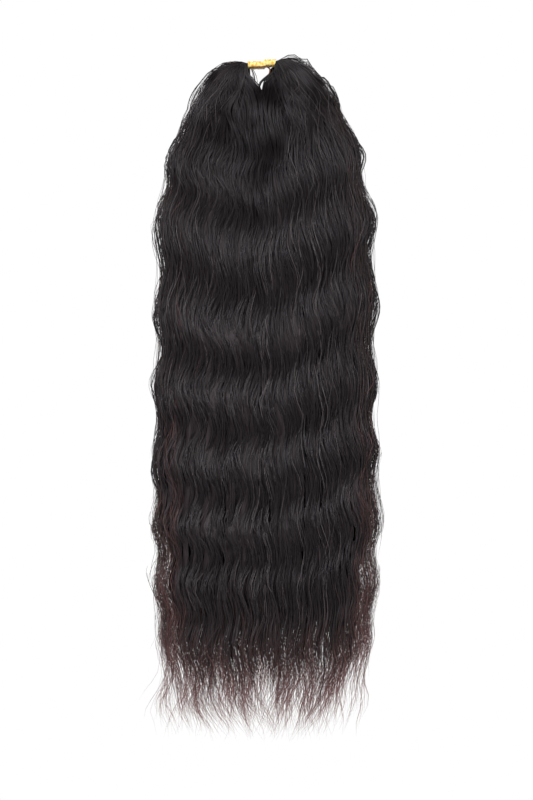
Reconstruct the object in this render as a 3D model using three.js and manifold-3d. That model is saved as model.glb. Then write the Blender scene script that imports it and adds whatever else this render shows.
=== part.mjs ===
// A hank of wavy crochet hair, bound at its middle by a wound elastic tie and hanging in two falls.
//
// Millimetres, +Z up, the front faces -Y. The origin is the middle of the tie, on the axis of the
// bundle that runs through it. The bundle leaves the tie at both ends, arches over and hangs down
// as one wavy mass, whose outside is ribbed into locks and whose lower end parts into lock tips.

import * as THREE from "three";
import { mergeVertices } from "three/addons/utils/BufferGeometryUtils.js";
import Module from "manifold-3d";

const wasm = await Module();
wasm.setup();

// Driving dimensions of the hair
const BODY_DROP = 440; // where the closed mass ends and the lock tips go on alone
const BUNDLE_HALF_HEIGHT = 2; // the bundle inside the tie
const BUNDLE_HALF_DEPTH = 4.2;
const BUNDLE_OVERLAP = 2; // how far each fall's bundle passes the middle of the tie
const HANK_OFFSET = 2.8; // the hanging mass is centred a little to the right of the tie

// Driving dimensions of the tie
const TIE_LENGTH = 21.4;
const TIE_GAP = 0.3; // all round, between the bundle and the tie
const TIE_WALL = 0.8; // how far a turn of the elastic stands out from the bore
const TIE_TURNS = 9;
const TIE_DOUBLED_TURNS = 4; // at the right end, wound over a second time
const TIE_DOUBLING = 0.45; // how far those turns stand out over the others
const TURN_VALLEY = { along: 0.03, out: 0.7 }; // between two turns, as shares of pitch and wall
const TURN_CROWN = { from: 0.3, to: 0.7 }; // the flat top of a turn, as shares of the pitch
const WINDING_SIDES = 18;

// The elastic's loose end, out of the winding's front and down below its right half
const LOOSE_END_RADIUS = 0.55;
const LOOSE_END = [
  { x: -1.4, y: -2.8, z: -2.5 },
  { x: 0.6, y: -3.2, z: -3.5 },
  { x: 2.8, y: -3.6, z: -4.7 },
  { x: 3.8, y: -3.6, z: -8.8 },
];

// Half sizes of the hanging mass, by how far it has dropped below the tie
const MASS = [
  { drop: 0, halfWidth: 38, halfDepth: 6 },
  { drop: 12, halfWidth: 46, halfDepth: 10.5 },
  { drop: 34, halfWidth: 57, halfDepth: 15 },
  { drop: 48, halfWidth: 64.5, halfDepth: 16.8 },
  { drop: 61, halfWidth: 68, halfDepth: 18 },
  { drop: 87, halfWidth: 74, halfDepth: 19.5 },
  { drop: 120, halfWidth: 79, halfDepth: 20.5 },
  { drop: 207, halfWidth: 81, halfDepth: 21 },
  { drop: 338, halfWidth: 83.5, halfDepth: 21 },
  { drop: 417, halfWidth: 82, halfDepth: 19.5 },
  { drop: 470, halfWidth: 75, halfDepth: 17 },
  { drop: 508, halfWidth: 62, halfDepth: 14 },
];

// Where each wave of the hair stands out furthest at the two edges
const WAVES = [
  { crestDrop: 6 },
  { crestDrop: 61 },
  { crestDrop: 116 },
  { crestDrop: 179 },
  { crestDrop: 241 },
  { crestDrop: 291 },
  { crestDrop: 339 },
  { crestDrop: 394 },
  { crestDrop: 447 },
  { crestDrop: 500 },
  { crestDrop: 553 },
];
const EDGE_WAVE = 2.8; // how far the edges swing out and in
const SWAY = 4.6; // how far the hair between the edges swings sideways
const SWAY_LAG = 1.1; // radians by which that swing comes after the edges'
const DEPTH_WAVE = 2.6; // how far the front and back swell
const DEPTH_LAG = 2.4; // radians by which the front's swell comes after the edges' crest
const BACK_LEAD = 1.9; // radians by which the back swells ahead of the front
const WAVE_STARTS = 12; // drop where the hair leaves the arch straight
const WAVE_FULL = 58; // drop where the waves have their full size

// The two falls: where the innermost hair of each turns down, how soon it closes the gap below the tie
// and how far the hair rises over the tie before it arches down
const FALLS = [
  { side: -1, innerTurnOut: 13.5, innerTurnDrop: 7, closing: 14, hump: 2 }, // left
  { side: 1, innerTurnOut: 8.5, innerTurnDrop: 3.6, closing: 5, hump: 3.8 }, // right
];
const ARCH_START = TIE_LENGTH / 2 + 0.6; // clear of the tie's end
const OUTER_TURN_DROP = 36; // where the outermost hair has turned down
const ARCH_SLOPE = 1.11; // 1 is an elliptic arch, more is straighter

// The section of one fall: a flat inner side past the middle, and a round outer side ribbed into locks
const FALL_OVERLAP = 0.06; // share of the half width by which each fall passes the middle
const OUTER_SHARE = 0.8; // share of a turn round the section that its outer side takes
const SQUARENESS = 2.5; // 2 is an ellipse, more is squarer
const EDGE_CROWDING = 1.35; // how much closer together the locks lie towards the edge
const SECTION_MIDDLE = 0.45;
const LOCKS_PER_FALL = 8; // with half a lock at each side of the middle
const POINTS_PER_LOCK = 3;
const FLAT_POINTS = 4;
const GROOVE = 0.16; // depth of the grooves between the locks, as a share of the section
const CLOSING_STATIONS = 3; // set close together where the gap below the tie closes
const CLOSING_STEP = 3;
const STATIONS_PER_FALL = 38;
const ARCH_STATIONS = 5;
const END_ROUNDING = { share: 0.7, length: 10 }; // of the closed mass, between the lock tips

// The tips below the mass: the place of each lock across and through the hanging mass, as shares of
// its half sizes, how far it reaches down and its greatest half width. The right fall has them turned
// back to front, so that the two falls don't end in step.
const LOCK_TIPS = [
  { across: 0.04, through: -0.5, reach: 498, girth: 10.5 },
  { across: 0.26, through: -0.5, reach: 507, girth: 10.5 },
  { across: 0.48, through: -0.5, reach: 492, girth: 10.5 },
  { across: 0.68, through: -0.45, reach: 499, girth: 10 },
  { across: 0.86, through: -0.25, reach: 481, girth: 8.5 },
  { across: 0.15, through: 0.5, reach: 503, girth: 10.5 },
  { across: 0.37, through: 0.5, reach: 489, girth: 10.5 },
  { across: 0.58, through: 0.5, reach: 502, girth: 10.5 },
  { across: 0.77, through: 0.4, reach: 487, girth: 9.5 },
  { across: 0.3, through: 0, reach: 500, girth: 11 },
  { across: 0.55, through: 0, reach: 508, girth: 11 },
  { across: 0.88, through: 0.1, reach: 474, girth: 8 },
];
const TIP_ROOT_DROP = 405;
const TIP_SIDES = 6;
const TIP_STATIONS = 7;
const TIP_FLATNESS = 0.75; // depth of a tip against its width
const TIP_SPINDLE = { root: 0.06, end: 0.98 }; // girth follows a half wave between these shares of it

// Smooth value of a table's column at a drop, through its rows
function columnAt(rows, column, drop) {
  const last = rows.length - 1;
  const next = THREE.MathUtils.clamp(rows.findIndex((row) => row.drop > drop), 1, last);
  const slopeAt = (i) => {
    const before = rows[Math.max(i - 1, 0)];
    const after = rows[Math.min(i + 1, last)];
    return (after[column] - before[column]) / (after.drop - before.drop);
  };
  const low = rows[next - 1];
  const high = rows[next];
  const span = high.drop - low.drop;
  const s = THREE.MathUtils.clamp((drop - low.drop) / span, 0, 1);
  const hermite = [2 * s ** 3 - 3 * s ** 2 + 1, s ** 3 - 2 * s ** 2 + s];
  const mirrored = [3 * s ** 2 - 2 * s ** 3, s ** 3 - s ** 2];
  return (
    hermite[0] * low[column] +
    hermite[1] * span * slopeAt(next - 1) +
    mirrored[0] * high[column] +
    mirrored[1] * span * slopeAt(next)
  );
}

// Phase of the waves at a drop: a whole turn from each crest to the next
function wavePhase(drop) {
  const next = THREE.MathUtils.clamp(
    WAVES.findIndex((wave) => wave.crestDrop > drop),
    1,
    WAVES.length - 1,
  );
  const above = WAVES[next - 1].crestDrop;
  const share = (drop - above) / (WAVES[next].crestDrop - above);
  return 2 * Math.PI * (next - 1 + share);
}

// How far the waves move a hair that hangs at the share u of the half width and v of the half depth
function waveOffset(side, u, v, drop) {
  const size = THREE.MathUtils.smoothstep(drop, WAVE_STARTS, WAVE_FULL);
  const phase = wavePhase(drop);
  const edge = side * EDGE_WAVE * u * Math.cos(phase);
  const sway = -SWAY * (1 - u * u) * Math.cos(phase - SWAY_LAG);
  const lead = BACK_LEAD * THREE.MathUtils.smoothstep(v, -0.5, 0.5);
  const swell = DEPTH_WAVE * v * Math.cos(phase - DEPTH_LAG + lead);
  return { x: size * (edge + sway), y: size * swell };
}

// A place in a fall's section, from its turn round the outline (0 to 1) and its share of the way out.
// u and v are its place in the hanging mass, bundleY and bundleZ its place in the bundle. The turn runs
// from the middle of the front to the edge, along the back to the middle, and home over the flat side.
function sectionPlace(turn, out) {
  const angle = 2 * Math.PI * (turn - OUTER_SHARE / 2);
  let u = -FALL_OVERLAP;
  let v = 1 - (2 * (turn - OUTER_SHARE)) / (1 - OUTER_SHARE);
  if (turn <= OUTER_SHARE) {
    const towardsBack = (2 * turn) / OUTER_SHARE - 1;
    const outward = 1 - Math.abs(towardsBack) ** EDGE_CROWDING;
    u = THREE.MathUtils.lerp(-FALL_OVERLAP, 1, outward);
    v = Math.sign(towardsBack) * (1 - outward ** SQUARENESS) ** (1 / SQUARENESS);
  }
  return {
    u: SECTION_MIDDLE + out * (u - SECTION_MIDDLE),
    v: out * v,
    bundleY: out * Math.sin(angle) * BUNDLE_HALF_DEPTH,
    bundleZ: out * Math.cos(angle) * BUNDLE_HALF_HEIGHT,
  };
}

// Where the hair at a place of the section turns from sideways to straight down
function turnOf(fall, place) {
  const outward = (place.u + FALL_OVERLAP) / (1 + FALL_OVERLAP);
  const outerTurnOut = columnAt(MASS, "halfWidth", OUTER_TURN_DROP);
  return {
    out: THREE.MathUtils.lerp(fall.innerTurnOut, outerTurnOut, outward),
    drop: THREE.MathUtils.lerp(fall.innerTurnDrop, OUTER_TURN_DROP, outward),
  };
}

// A point of the arch, at an angle from 0 at the tie to a quarter turn where the hair hangs
function archPoint(fall, place, angle) {
  const turn = turnOf(fall, place);
  const spread = THREE.MathUtils.smoothstep(angle, 0, Math.PI / 2);
  const depth = place.v * columnAt(MASS, "halfDepth", turn.drop);
  const out = THREE.MathUtils.lerp(ARCH_START, turn.out, Math.sin(angle) ** ARCH_SLOPE);
  const fallen = turn.drop * (1 - Math.cos(angle) ** ARCH_SLOPE);
  return new THREE.Vector3(
    fall.side * out + HANK_OFFSET * spread,
    THREE.MathUtils.lerp(place.bundleY, depth, spread),
    place.bundleZ - fallen + fall.hump * Math.max(0, Math.sin(4 * angle)),
  );
}

// A point of the hanging hair, at a drop below its turn
function hangingPoint(fall, place, drop) {
  const turn = turnOf(fall, place);
  const settled = place.u * columnAt(MASS, "halfWidth", drop);
  const atTurn = turn.out - place.u * columnAt(MASS, "halfWidth", turn.drop);
  const closing = Math.exp(-(drop - turn.drop) / fall.closing);
  const wave = waveOffset(fall.side, place.u, place.v, drop);
  return new THREE.Vector3(
    fall.side * (settled + atTurn * closing) + HANK_OFFSET + wave.x,
    place.v * columnAt(MASS, "halfDepth", drop) + wave.y,
    place.bundleZ - drop,
  );
}

// A closed solid through rings of points, each ring with as many points, ends closed to their middles
function loft(rings) {
  const sides = rings[0].length;
  const middle = (ring) =>
    ring.reduce((sum, p) => sum.add(p), new THREE.Vector3()).divideScalar(sides);
  const points = [...rings.flat(), middle(rings[0]), middle(rings.at(-1))];
  const startCap = sides * rings.length;
  const endCap = startCap + 1;
  const lastRing = sides * (rings.length - 1);
  const triangles = [];
  for (let i = 0; i < sides; i++) {
    const j = (i + 1) % sides;
    triangles.push(startCap, j, i, endCap, lastRing + i, lastRing + j);
    for (let row = 0; row < lastRing; row += sides)
      triangles.push(row + i, row + j, row + sides + i, row + j, row + sides + j, row + sides + i);
  }
  return new THREE.BufferGeometry().setFromPoints(points).setIndex(triangles);
}

// A geometry as a solid that can be joined, with its faces turned outwards
function solidOf(geometry) {
  const bare = new THREE.BufferGeometry()
    .setAttribute("position", geometry.getAttribute("position"))
    .setIndex(geometry.index);
  const merged = mergeVertices(bare);
  const build = (triVerts) =>
    new wasm.Manifold(
      new wasm.Mesh({ numProp: 3, vertProperties: merged.attributes.position.array, triVerts }),
    );
  const triVerts = new Uint32Array(merged.index.array);
  const solid = build(triVerts);
  return solid.volume() > 0 ? solid : build(triVerts.reverse());
}

// Several solids fused into one geometry: the skin round them all, without the voids between them
function fuse(solids) {
  const skins = solids.reduce((whole, solid) => whole.add(solid)).decompose();
  const outer = skins.filter((skin) => skin.volume() > 0);
  if (outer.length !== 1) throw new Error("the pieces to fuse don't all meet");
  const mesh = outer[0].getMesh();
  const geometry = new THREE.BufferGeometry()
    .setAttribute("position", new THREE.BufferAttribute(mesh.vertProperties, 3))
    .setIndex(new THREE.BufferAttribute(mesh.triVerts, 1));
  geometry.computeVertexNormals();
  return geometry;
}

// The outline of a fall's section, with a groove after every lock on its outer side
function ribbedSection(share) {
  const lastOuter = LOCKS_PER_FALL * POINTS_PER_LOCK + 1;
  const places = [];
  for (let i = 0; i <= lastOuter; i++) {
    const inGroove = i % POINTS_PER_LOCK === POINTS_PER_LOCK - 1;
    const out = inGroove ? 1 - GROOVE : 1;
    places.push(sectionPlace((OUTER_SHARE * i) / lastOuter, share * out));
  }
  for (let i = 1; i < FLAT_POINTS; i++)
    places.push(sectionPlace(OUTER_SHARE + ((1 - OUTER_SHARE) * i) / FLAT_POINTS, share));
  return places;
}

// One fall: from inside the tie, over its arch and down to the end of the closed mass
function fallSolid(fall) {
  const section = ribbedSection(1);
  const start = -fall.side * BUNDLE_OVERLAP;
  const rings = [section.map((place) => new THREE.Vector3(start, place.bundleY, place.bundleZ))];
  for (let i = 0; i < ARCH_STATIONS; i++) {
    const angle = (Math.PI / 2) * (i / ARCH_STATIONS);
    rings.push(section.map((place) => archPoint(fall, place, angle)));
  }
  for (let i = 0; i < CLOSING_STATIONS; i++) {
    const dropOf = (place) => turnOf(fall, place).drop + i * CLOSING_STEP;
    rings.push(section.map((place) => hangingPoint(fall, place, dropOf(place))));
  }
  for (let i = 0; i <= STATIONS_PER_FALL; i++) {
    const closed = (place) => turnOf(fall, place).drop + CLOSING_STATIONS * CLOSING_STEP;
    const dropOf = (place) => THREE.MathUtils.lerp(closed(place), BODY_DROP, i / STATIONS_PER_FALL);
    rings.push(section.map((place) => hangingPoint(fall, place, dropOf(place))));
  }
  const end = ribbedSection(END_ROUNDING.share);
  rings.push(end.map((place) => hangingPoint(fall, place, BODY_DROP + END_ROUNDING.length)));
  return solidOf(loft(rings));
}

// One lock tip: a spindle that starts inside the mass, leaves it at its thickest and thins to its end
function tipSolid(fall, tip) {
  const place = { u: tip.across, v: -fall.side * tip.through, bundleZ: 0 };
  const rings = [];
  for (let i = 0; i <= TIP_STATIONS; i++) {
    const share = i / TIP_STATIONS;
    const centre = hangingPoint(fall, place, THREE.MathUtils.lerp(TIP_ROOT_DROP, tip.reach, share));
    const spindle = THREE.MathUtils.lerp(TIP_SPINDLE.root, TIP_SPINDLE.end, share);
    const girth = tip.girth * Math.sin(Math.PI * spindle);
    const ring = [];
    for (let k = 0; k < TIP_SIDES; k++) {
      const angle = (2 * Math.PI * k) / TIP_SIDES;
      const depth = TIP_FLATNESS * girth * Math.sin(angle);
      ring.push(new THREE.Vector3(girth * Math.cos(angle), depth, 0).add(centre));
    }
    rings.push(ring);
  }
  return solidOf(loft(rings));
}

// The hair: two falls and their lock tips, fused
function hairGeometry() {
  const solids = FALLS.map(fallSolid);
  for (const fall of FALLS) solids.push(...LOCK_TIPS.map((tip) => tipSolid(fall, tip)));
  return fuse(solids);
}

// The wound elastic, turned about the bundle's axis and then made oval as the bundle is
function windingGeometry() {
  const bore = BUNDLE_HALF_HEIGHT + TIE_GAP;
  const pitch = TIE_LENGTH / TIE_TURNS;
  const halfLength = TIE_LENGTH / 2;
  const profile = [new THREE.Vector2(bore, -halfLength)];
  for (let turn = 0; turn < TIE_TURNS; turn++) {
    const doubled = turn >= TIE_TURNS - TIE_DOUBLED_TURNS;
    const wall = TIE_WALL + (doubled ? TIE_DOUBLING : 0);
    const start = turn * pitch - halfLength;
    profile.push(new THREE.Vector2(bore + wall * TURN_VALLEY.out, start + pitch * TURN_VALLEY.along));
    profile.push(new THREE.Vector2(bore + wall, start + pitch * TURN_CROWN.from));
    profile.push(new THREE.Vector2(bore + wall, start + pitch * TURN_CROWN.to));
  }
  profile.push(new THREE.Vector2(bore + TIE_WALL * TURN_VALLEY.out, halfLength));
  profile.push(new THREE.Vector2(bore, halfLength));
  profile.push(profile[0].clone());
  const geometry = new THREE.LatheGeometry(profile, WINDING_SIDES).rotateZ(-Math.PI / 2);
  const position = geometry.getAttribute("position");
  const deeper = BUNDLE_HALF_DEPTH - BUNDLE_HALF_HEIGHT;
  for (let i = 0; i < position.count; i++) {
    const y = position.getY(i);
    const z = position.getZ(i);
    position.setXYZ(i, position.getX(i), z * (1 + deeper / Math.hypot(y, z)), y);
  }
  return geometry;
}

function looseEndGeometry() {
  const points = LOOSE_END.map((point) => new THREE.Vector3(point.x, point.y, point.z));
  const extrudePath = new THREE.CatmullRomCurve3(points);
  const section = new THREE.Shape().absarc(0, 0, LOOSE_END_RADIUS, 0, 2 * Math.PI);
  return new THREE.ExtrudeGeometry(section, { steps: 9, curveSegments: 8, extrudePath });
}

function tieGeometry() {
  return fuse([solidOf(windingGeometry()), solidOf(looseEndGeometry())]);
}

const hairMaterial = new THREE.MeshStandardMaterial({ color: 0x272223, roughness: 0.45 });
const elasticMaterial = new THREE.MeshStandardMaterial({ color: 0xf4cc48, roughness: 0.55 });

function named(name, geometry, material) {
  const mesh = new THREE.Mesh(geometry, material);
  mesh.name = name;
  return mesh;
}

const hank = new THREE.Group();
hank.add(named("hair_hank", hairGeometry(), hairMaterial));
hank.add(named("elastic_tie", tieGeometry(), elasticMaterial));

export default hank;
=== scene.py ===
"""Tied hank of wavy crochet hair: a dark core, locks of strands, thin tips and the wound elastic.

The tables hold millimetres, and a mesh is turned into metres when it is made. The frame is the
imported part's own: +Z up, the front faces -Y, the origin is the middle of the tie.

The hair runs sideways through the tie, arches over and hangs down as a left and a right fall. A strand's
place in the section of its fall is a turn round it and a share of the way out to its skin. From there the
fall's twist, the waves and its own drift lead it down. A dictionary, hair, holds the strands' values.
"""

import math

import bmesh
import bpy
import numpy as np
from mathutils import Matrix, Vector


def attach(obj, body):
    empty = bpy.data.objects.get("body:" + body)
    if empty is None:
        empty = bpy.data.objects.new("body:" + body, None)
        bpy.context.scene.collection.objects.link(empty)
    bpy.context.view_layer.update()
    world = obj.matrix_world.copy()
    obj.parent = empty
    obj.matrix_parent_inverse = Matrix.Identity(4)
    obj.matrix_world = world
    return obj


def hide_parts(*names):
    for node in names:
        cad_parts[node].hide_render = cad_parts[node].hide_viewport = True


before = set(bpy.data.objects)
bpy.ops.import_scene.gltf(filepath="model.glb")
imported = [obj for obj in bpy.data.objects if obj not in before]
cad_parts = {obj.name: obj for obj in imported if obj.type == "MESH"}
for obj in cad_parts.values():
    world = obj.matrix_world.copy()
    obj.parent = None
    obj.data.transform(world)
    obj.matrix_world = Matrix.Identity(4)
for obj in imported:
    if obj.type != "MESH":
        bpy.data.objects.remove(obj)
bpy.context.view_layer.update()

MM = 0.001
SEED = 20
rng = np.random.default_rng(SEED)


def table(columns, rows):
    """A table with named columns."""
    return np.array(rows, dtype=[(name, float) for name in columns.split()])


# Form of the hair: the bundle in the tie, the arch out of it and the hanging mass

BUNDLE_HALF_HEIGHT = 1.4
BUNDLE_HALF_DEPTH = 4.2
HANK_OFFSET = 2.8  # the hanging mass is centred a little to the right of the tie
ARCH_START = 11.3
ARCH_SLOPE = 1.11  # 1 is an elliptic arch, more is straighter
OUTER_TURN_DROP = 36.0  # where the outermost hair has turned down
CRIMP = 0.75  # size of the small kinks in the hair that arches over, as a share of its drift
CRIMP_LENGTH = 12.0

MASS = table("drop half_width half_depth", [
    (0, 38, 6),
    (12, 46, 10.5),
    (34, 57, 15),
    (48, 64.5, 16.8),
    (61, 68, 18),
    (87, 74, 19.5),
    (120, 79, 20.5),
    (207, 81, 21),
    (338, 83.5, 21),
    (417, 82, 19.5),
    (470, 75, 17),
    (508, 62, 14),
])

# The left and the right fall. The sheen column scales a fall's strand tone: painted light, which makes the
# left fall lighter
FALLS = table("side inner_turn_out inner_turn_drop closing hump lift twist sheen", [
    (-1, 13.5, 7, 14, 2, -0.9, 0.1, 1.22),
    (1, 8.5, 3.6, 6.5, 3.8, 0.5, 0.03, 1),
])
LEFT, RIGHT = 0, 1
FALL_NAMES = ((LEFT, "left"), (RIGHT, "right"))

# The section of one fall
FALL_OVERLAP = 0.06  # share of the half width by which a fall passes the middle
OUTER_SHARE = 0.8  # share of a turn round the section that its outer side takes
SQUARENESS = 2.5  # 2 is an elliptic section, more is squarer
EDGE_CROWDING = 1.35  # more than 1 sets the strands closer towards the edge
SECTION_MIDDLE = 0.45  # where the middle of the section is, as a share of the half width
SINKING = 1.2  # how fast strands sink in that have turned past the middle of the front or the back

# Drop of each bright band of the waves, at five places across the hank
BAND_PLACES = (-1.0, -0.5, 0.15, 0.42, 0.75)
BANDS = table("left_edge left_inside middle right_inside right_edge", [
    (-34, -13, -13, -28, -33),
    (16, 37, 37, 23, 18),
    (61, 87, 87, 74, 68),
    (116, 137, 137, 124, 118),
    (179, 197, 197, 183, 175),
    (241, 246, 246, 235, 229),
    (291, 297, 297, 286, 278),
    (339, 342, 342, 334, 327),
    (388, 383, 383, 378, 372),
    (434, 425, 425, 418, 413),
    (480, 466, 466, 459, 454),
    (526, 507, 507, 500, 496),
])

# Drop at which the strands lean most to the left, at six places across the hank
LEAN_PLACES = (-0.87, -0.33, 0.04, 0.41, 0.77, 0.96)
LEANS = table("left_edge left_inside middle right_inside right_outside right_edge", [
    (15, 22, 29, 10, -5, -15),
    (61, 74, 83, 57, 42, 31),
    (104, 119, 137, 101, 91, 76),
    (170, 182, 191, 170, 146, 128),
    (227, 236, 245, 222, 200, 191),
    (285, 285, 285, 273, 258, 254),
    (335, 335, 335, 329, 317, 299),
    (380, 380, 380, 380, 365, 357),
    (425, 426, 426, 426, 411, 402),
    (470, 470, 470, 470, 456, 447),
    (515, 515, 515, 515, 500, 492),
])

# How far the strands swing sideways, and the front and back swell, at a place across the hank
SWAY = table("place reach swell", [
    (-1, 2.8, 2.8),
    (-0.7, 3.9, 3.6),
    (-0.3, 3.7, 3.3),
    (0.04, 2.0, 2.3),
    (0.4, 2.6, 2.5),
    (0.77, 3.2, 2.6),
    (1, 2.8, 2.6),
])
BACK_SHIFT = 1.9  # radians by which the back swells ahead of the front
WAVES_GROW = (0.0, 58.0)  # drops between which the waves reach their full size
WAVES_FADE = (345.0, 450.0)  # drops between which they die down
WAVES_LEFT = 0.45  # what is left of them at the tips
GAIN_SPREAD = 0.3  # by what share a lock's waves grow and shrink on their way down
GAIN_LENGTH = 170.0
TWIST_LENGTH = 420.0  # over which a fall turns by its twist
DRIFT_LENGTHS = (150.0, 130.0)  # lengths of a lock's slow waves, sideways and in depth
DRIFT_DEPTH = 0.6  # size of those in depth as a share of those sideways
DRIFT_LAG = 1.7  # what turns the start of those sideways into the start of those in depth
STRAY_X_LENGTHS = (97.0, 36.0)  # lengths of a strand's own long and short wave sideways
STRAY_Y_LENGTHS = (83.0, 39.0)  # and in depth
LOOSENING = 50.0  # drop below the arch over which these waves begin

# Strands
STRAND_RADIUS = 0.22
ARCH_STATIONS = 14
HANG_STATIONS = 46
LOCKS_PER_QUARTER = 11  # along the front or the back of one fall, in each of two layers
TUFTS_PER_LOCK = 4
STRANDS_PER_TUFT = {"front": 4, "back": 3}
LAYERS = (0.945, 0.975)  # share of the way out to the solid's skin
LOCK_CROWN = 0.05  # how far the middle of a lock stands out over its edges
CLUMP_LENGTH = 120.0  # over which a lock gathers and opens again
CLUMP_START = 80.0  # drop below the arch over which that begins
TIPS_GATHER = (430.0, 492.0)  # drops between which each lock gathers to a point
FAN_DROPS = (95.0, 62.0)  # where the front's strands have fanned out, at the middle and at the edge
FAN_START = 0.1  # share of that drop at which they begin to sweep sideways
SHOULDER = (26.0, 16.0)  # drop at which the edge is tucked in under loose strands, and over what length
SINK_ENDS = (45.0, 95.0)  # drops over which the under layers come up to the others
MIDDLE_CROSSING = 0.07  # by how much more the falls cross at the tips
LOCK_REACH = 450.0  # drop at which the locks end
EDGE_RISE = 60.0  # by how much they are shorter at the edge
LONGEST_LOCK = 505.0
EDGE_LOSS = (30.0, 150.0)  # from and to how much shorter some tufts are at the very edge
EDGE_DRAW = 0.03  # share of the half section by which the dense locks keep inside the edge
MIDDLE_TONE = 0.75  # the lightest tone, apart from the few light and thin strands
LIGHT_SHARE = 0.08  # share of the strands that are light and thin
TIE_THINNESS = 0.65  # a strand's thickness in the tie, as a share of its own
THICKENING = (6.0, 55.0)  # distances from the tie between which it gets its own thickness
POINT_SHARE = 0.08  # thickness that is left at its very end
# Painted shade: near the tie a strand's tone is darker, out to these distances, and it is duller there too
ROOT_REACH = (40.0, 160.0)  # distances from the tie between which it stops being darker and duller

# Fine ends
WISP_STATIONS = 14
OWN_LEAN = 0.25  # lean of a single wisp against its lock, as a share of the locks' lean
EDGE_STILLNESS = 0.6  # share of the lean that is missing at the edge
EDGE_INWARD = 0.1  # lean inward at the edge
DEPTH_LEAN = 0.05
BENDS = (0.0006, 0.0004)  # spread of the bend of the locks, and of single wisps against their lock
KINK_SIZES = (0.3, 1.6)
KINK_LENGTHS = (20.0, 36.0)
KINKS_GROW = 25.0  # length over which the kinks reach their full size


def smoothstep(value, low, high):
    share = np.clip((value - low) / (high - low), 0, 1)
    return share * share * (3 - 2 * share)


def lerp(low, high, share):
    return low + (high - low) * share


def mass_at(column, drop):
    """Smooth value of a column of the mass, through the table's rows."""
    drops, values = MASS["drop"], MASS[column]
    slopes = np.gradient(values, drops)
    slopes[1:-1] = (values[2:] - values[:-2]) / (drops[2:] - drops[:-2])
    after = np.clip(np.searchsorted(drops, drop, side="right"), 1, len(drops) - 1)
    before = after - 1
    span = drops[after] - drops[before]
    s = np.clip((drop - drops[before]) / span, 0, 1)
    start = (2 * s**3 - 3 * s**2 + 1) * values[before] + (s**3 - 2 * s**2 + s) * span * slopes[before]
    end = (3 * s**2 - 2 * s**3) * values[after] + (s**3 - s**2) * span * slopes[after]
    return start + end


def wave_phase(places, rows, place, drop):
    """Phase of the waves, a whole turn from each row of a table to the next."""
    count = np.arange(len(rows))
    mixed = np.zeros_like(drop)
    for i, name in enumerate(rows.dtype.names):
        corner = np.zeros(len(places))
        corner[i] = 1
        mixed += np.interp(place, places, corner) * 2 * np.pi * np.interp(drop, rows[name], count)
    return mixed


def section_place(turn, out):
    """Place in a fall's section, from the turn round it and the share of the way out."""
    towards_back = np.clip(2 * turn / OUTER_SHARE - 1, -1, 1)
    past_middle = np.maximum(0, -turn) + np.maximum(0, turn - OUTER_SHARE)
    outward = 1 - np.abs(towards_back) ** EDGE_CROWDING
    u = lerp(-FALL_OVERLAP, 1, outward)
    v = np.sign(towards_back) * np.clip(1 - outward**SQUARENESS, 0, 1) ** (1 / SQUARENESS)
    return SECTION_MIDDLE + out * (u - SECTION_MIDDLE), out * v * (1 - SINKING * past_middle)


def set_roots(hair):
    """Where each strand leaves the bundle, and where it has turned from sideways to hanging."""
    fall = hair["fall"]
    angle = 2 * np.pi * (hair["turn"] - OUTER_SHARE / 2)
    hair["bundle_y"] = hair["out"] * np.sin(angle) * BUNDLE_HALF_DEPTH
    hair["bundle_z"] = hair["out"] * np.cos(angle) * BUNDLE_HALF_HEIGHT
    u, v = section_place(hair["turn"], hair["out"])
    lock_u, lock_v = section_place(hair["lock_turn"], hair["lock_out"])
    hair["root_u"] = u = lerp(u, lock_u, hair["gather"])
    hair["root_v"] = lerp(v, lock_v, hair["gather"])
    outward = (u + FALL_OVERLAP) / (1 + FALL_OVERLAP)
    out = lerp(FALLS["inner_turn_out"][fall], mass_at("half_width", OUTER_TURN_DROP), outward)
    drop = lerp(FALLS["inner_turn_drop"][fall], OUTER_TURN_DROP, outward)
    fan_drop = lerp(*FAN_DROPS, outward) * hair["fan_length"]
    hair["turn_out"] = lerp(out, u * mass_at("half_width", fan_drop), hair["fan"])
    hair["turn_drop"] = lerp(drop, fan_drop, hair["fan"])


def tucked_in(hair, u, drop):
    """How far the edge of the mass is tucked in at the shoulder."""
    return hair["tuck"] * np.maximum(0, u) ** 4 * np.exp(-((drop - SHOULDER[0]) / SHOULDER[1]) ** 2)


def sunk_in(hair, drop):
    """Share of the depth that is left near the tie, where the under layers lie deeper."""
    return 1 - hair["sink"] * (1 - smoothstep(drop, *SINK_ENDS))


def slow_wave(drop, length, start):
    return np.sin(2 * np.pi * (drop / length + start))


def stray_wave(drop, lengths, start, short_start):
    """A long wave with a short one of half its size."""
    return slow_wave(drop, lengths[0], start) + 0.5 * slow_wave(drop, lengths[1], short_start)


def waves(hair, place, v, drop):
    """How far the waves swing the hair sideways and swell the mass, at a place across it and a drop."""
    faded = lerp(1, WAVES_LEFT, smoothstep(drop, *WAVES_FADE))
    size = hair["gain"] * smoothstep(drop, *WAVES_GROW) * faded
    size = size * (1 + GAIN_SPREAD * slow_wave(drop, GAIN_LENGTH, hair["gain_start"]))
    lean_phase = wave_phase(LEAN_PLACES, LEANS, place, drop) + hair["shift"]
    band_phase = wave_phase(BAND_PLACES, BANDS, place, drop) + hair["shift"]
    sway = -size * np.interp(place, SWAY["place"], SWAY["reach"]) * np.sin(lean_phase)
    band_phase = band_phase + BACK_SHIFT * smoothstep(v, -0.5, 0.5)
    swell = size * np.interp(place, SWAY["place"], SWAY["swell"]) * np.sin(band_phase)
    return sway, swell


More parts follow.
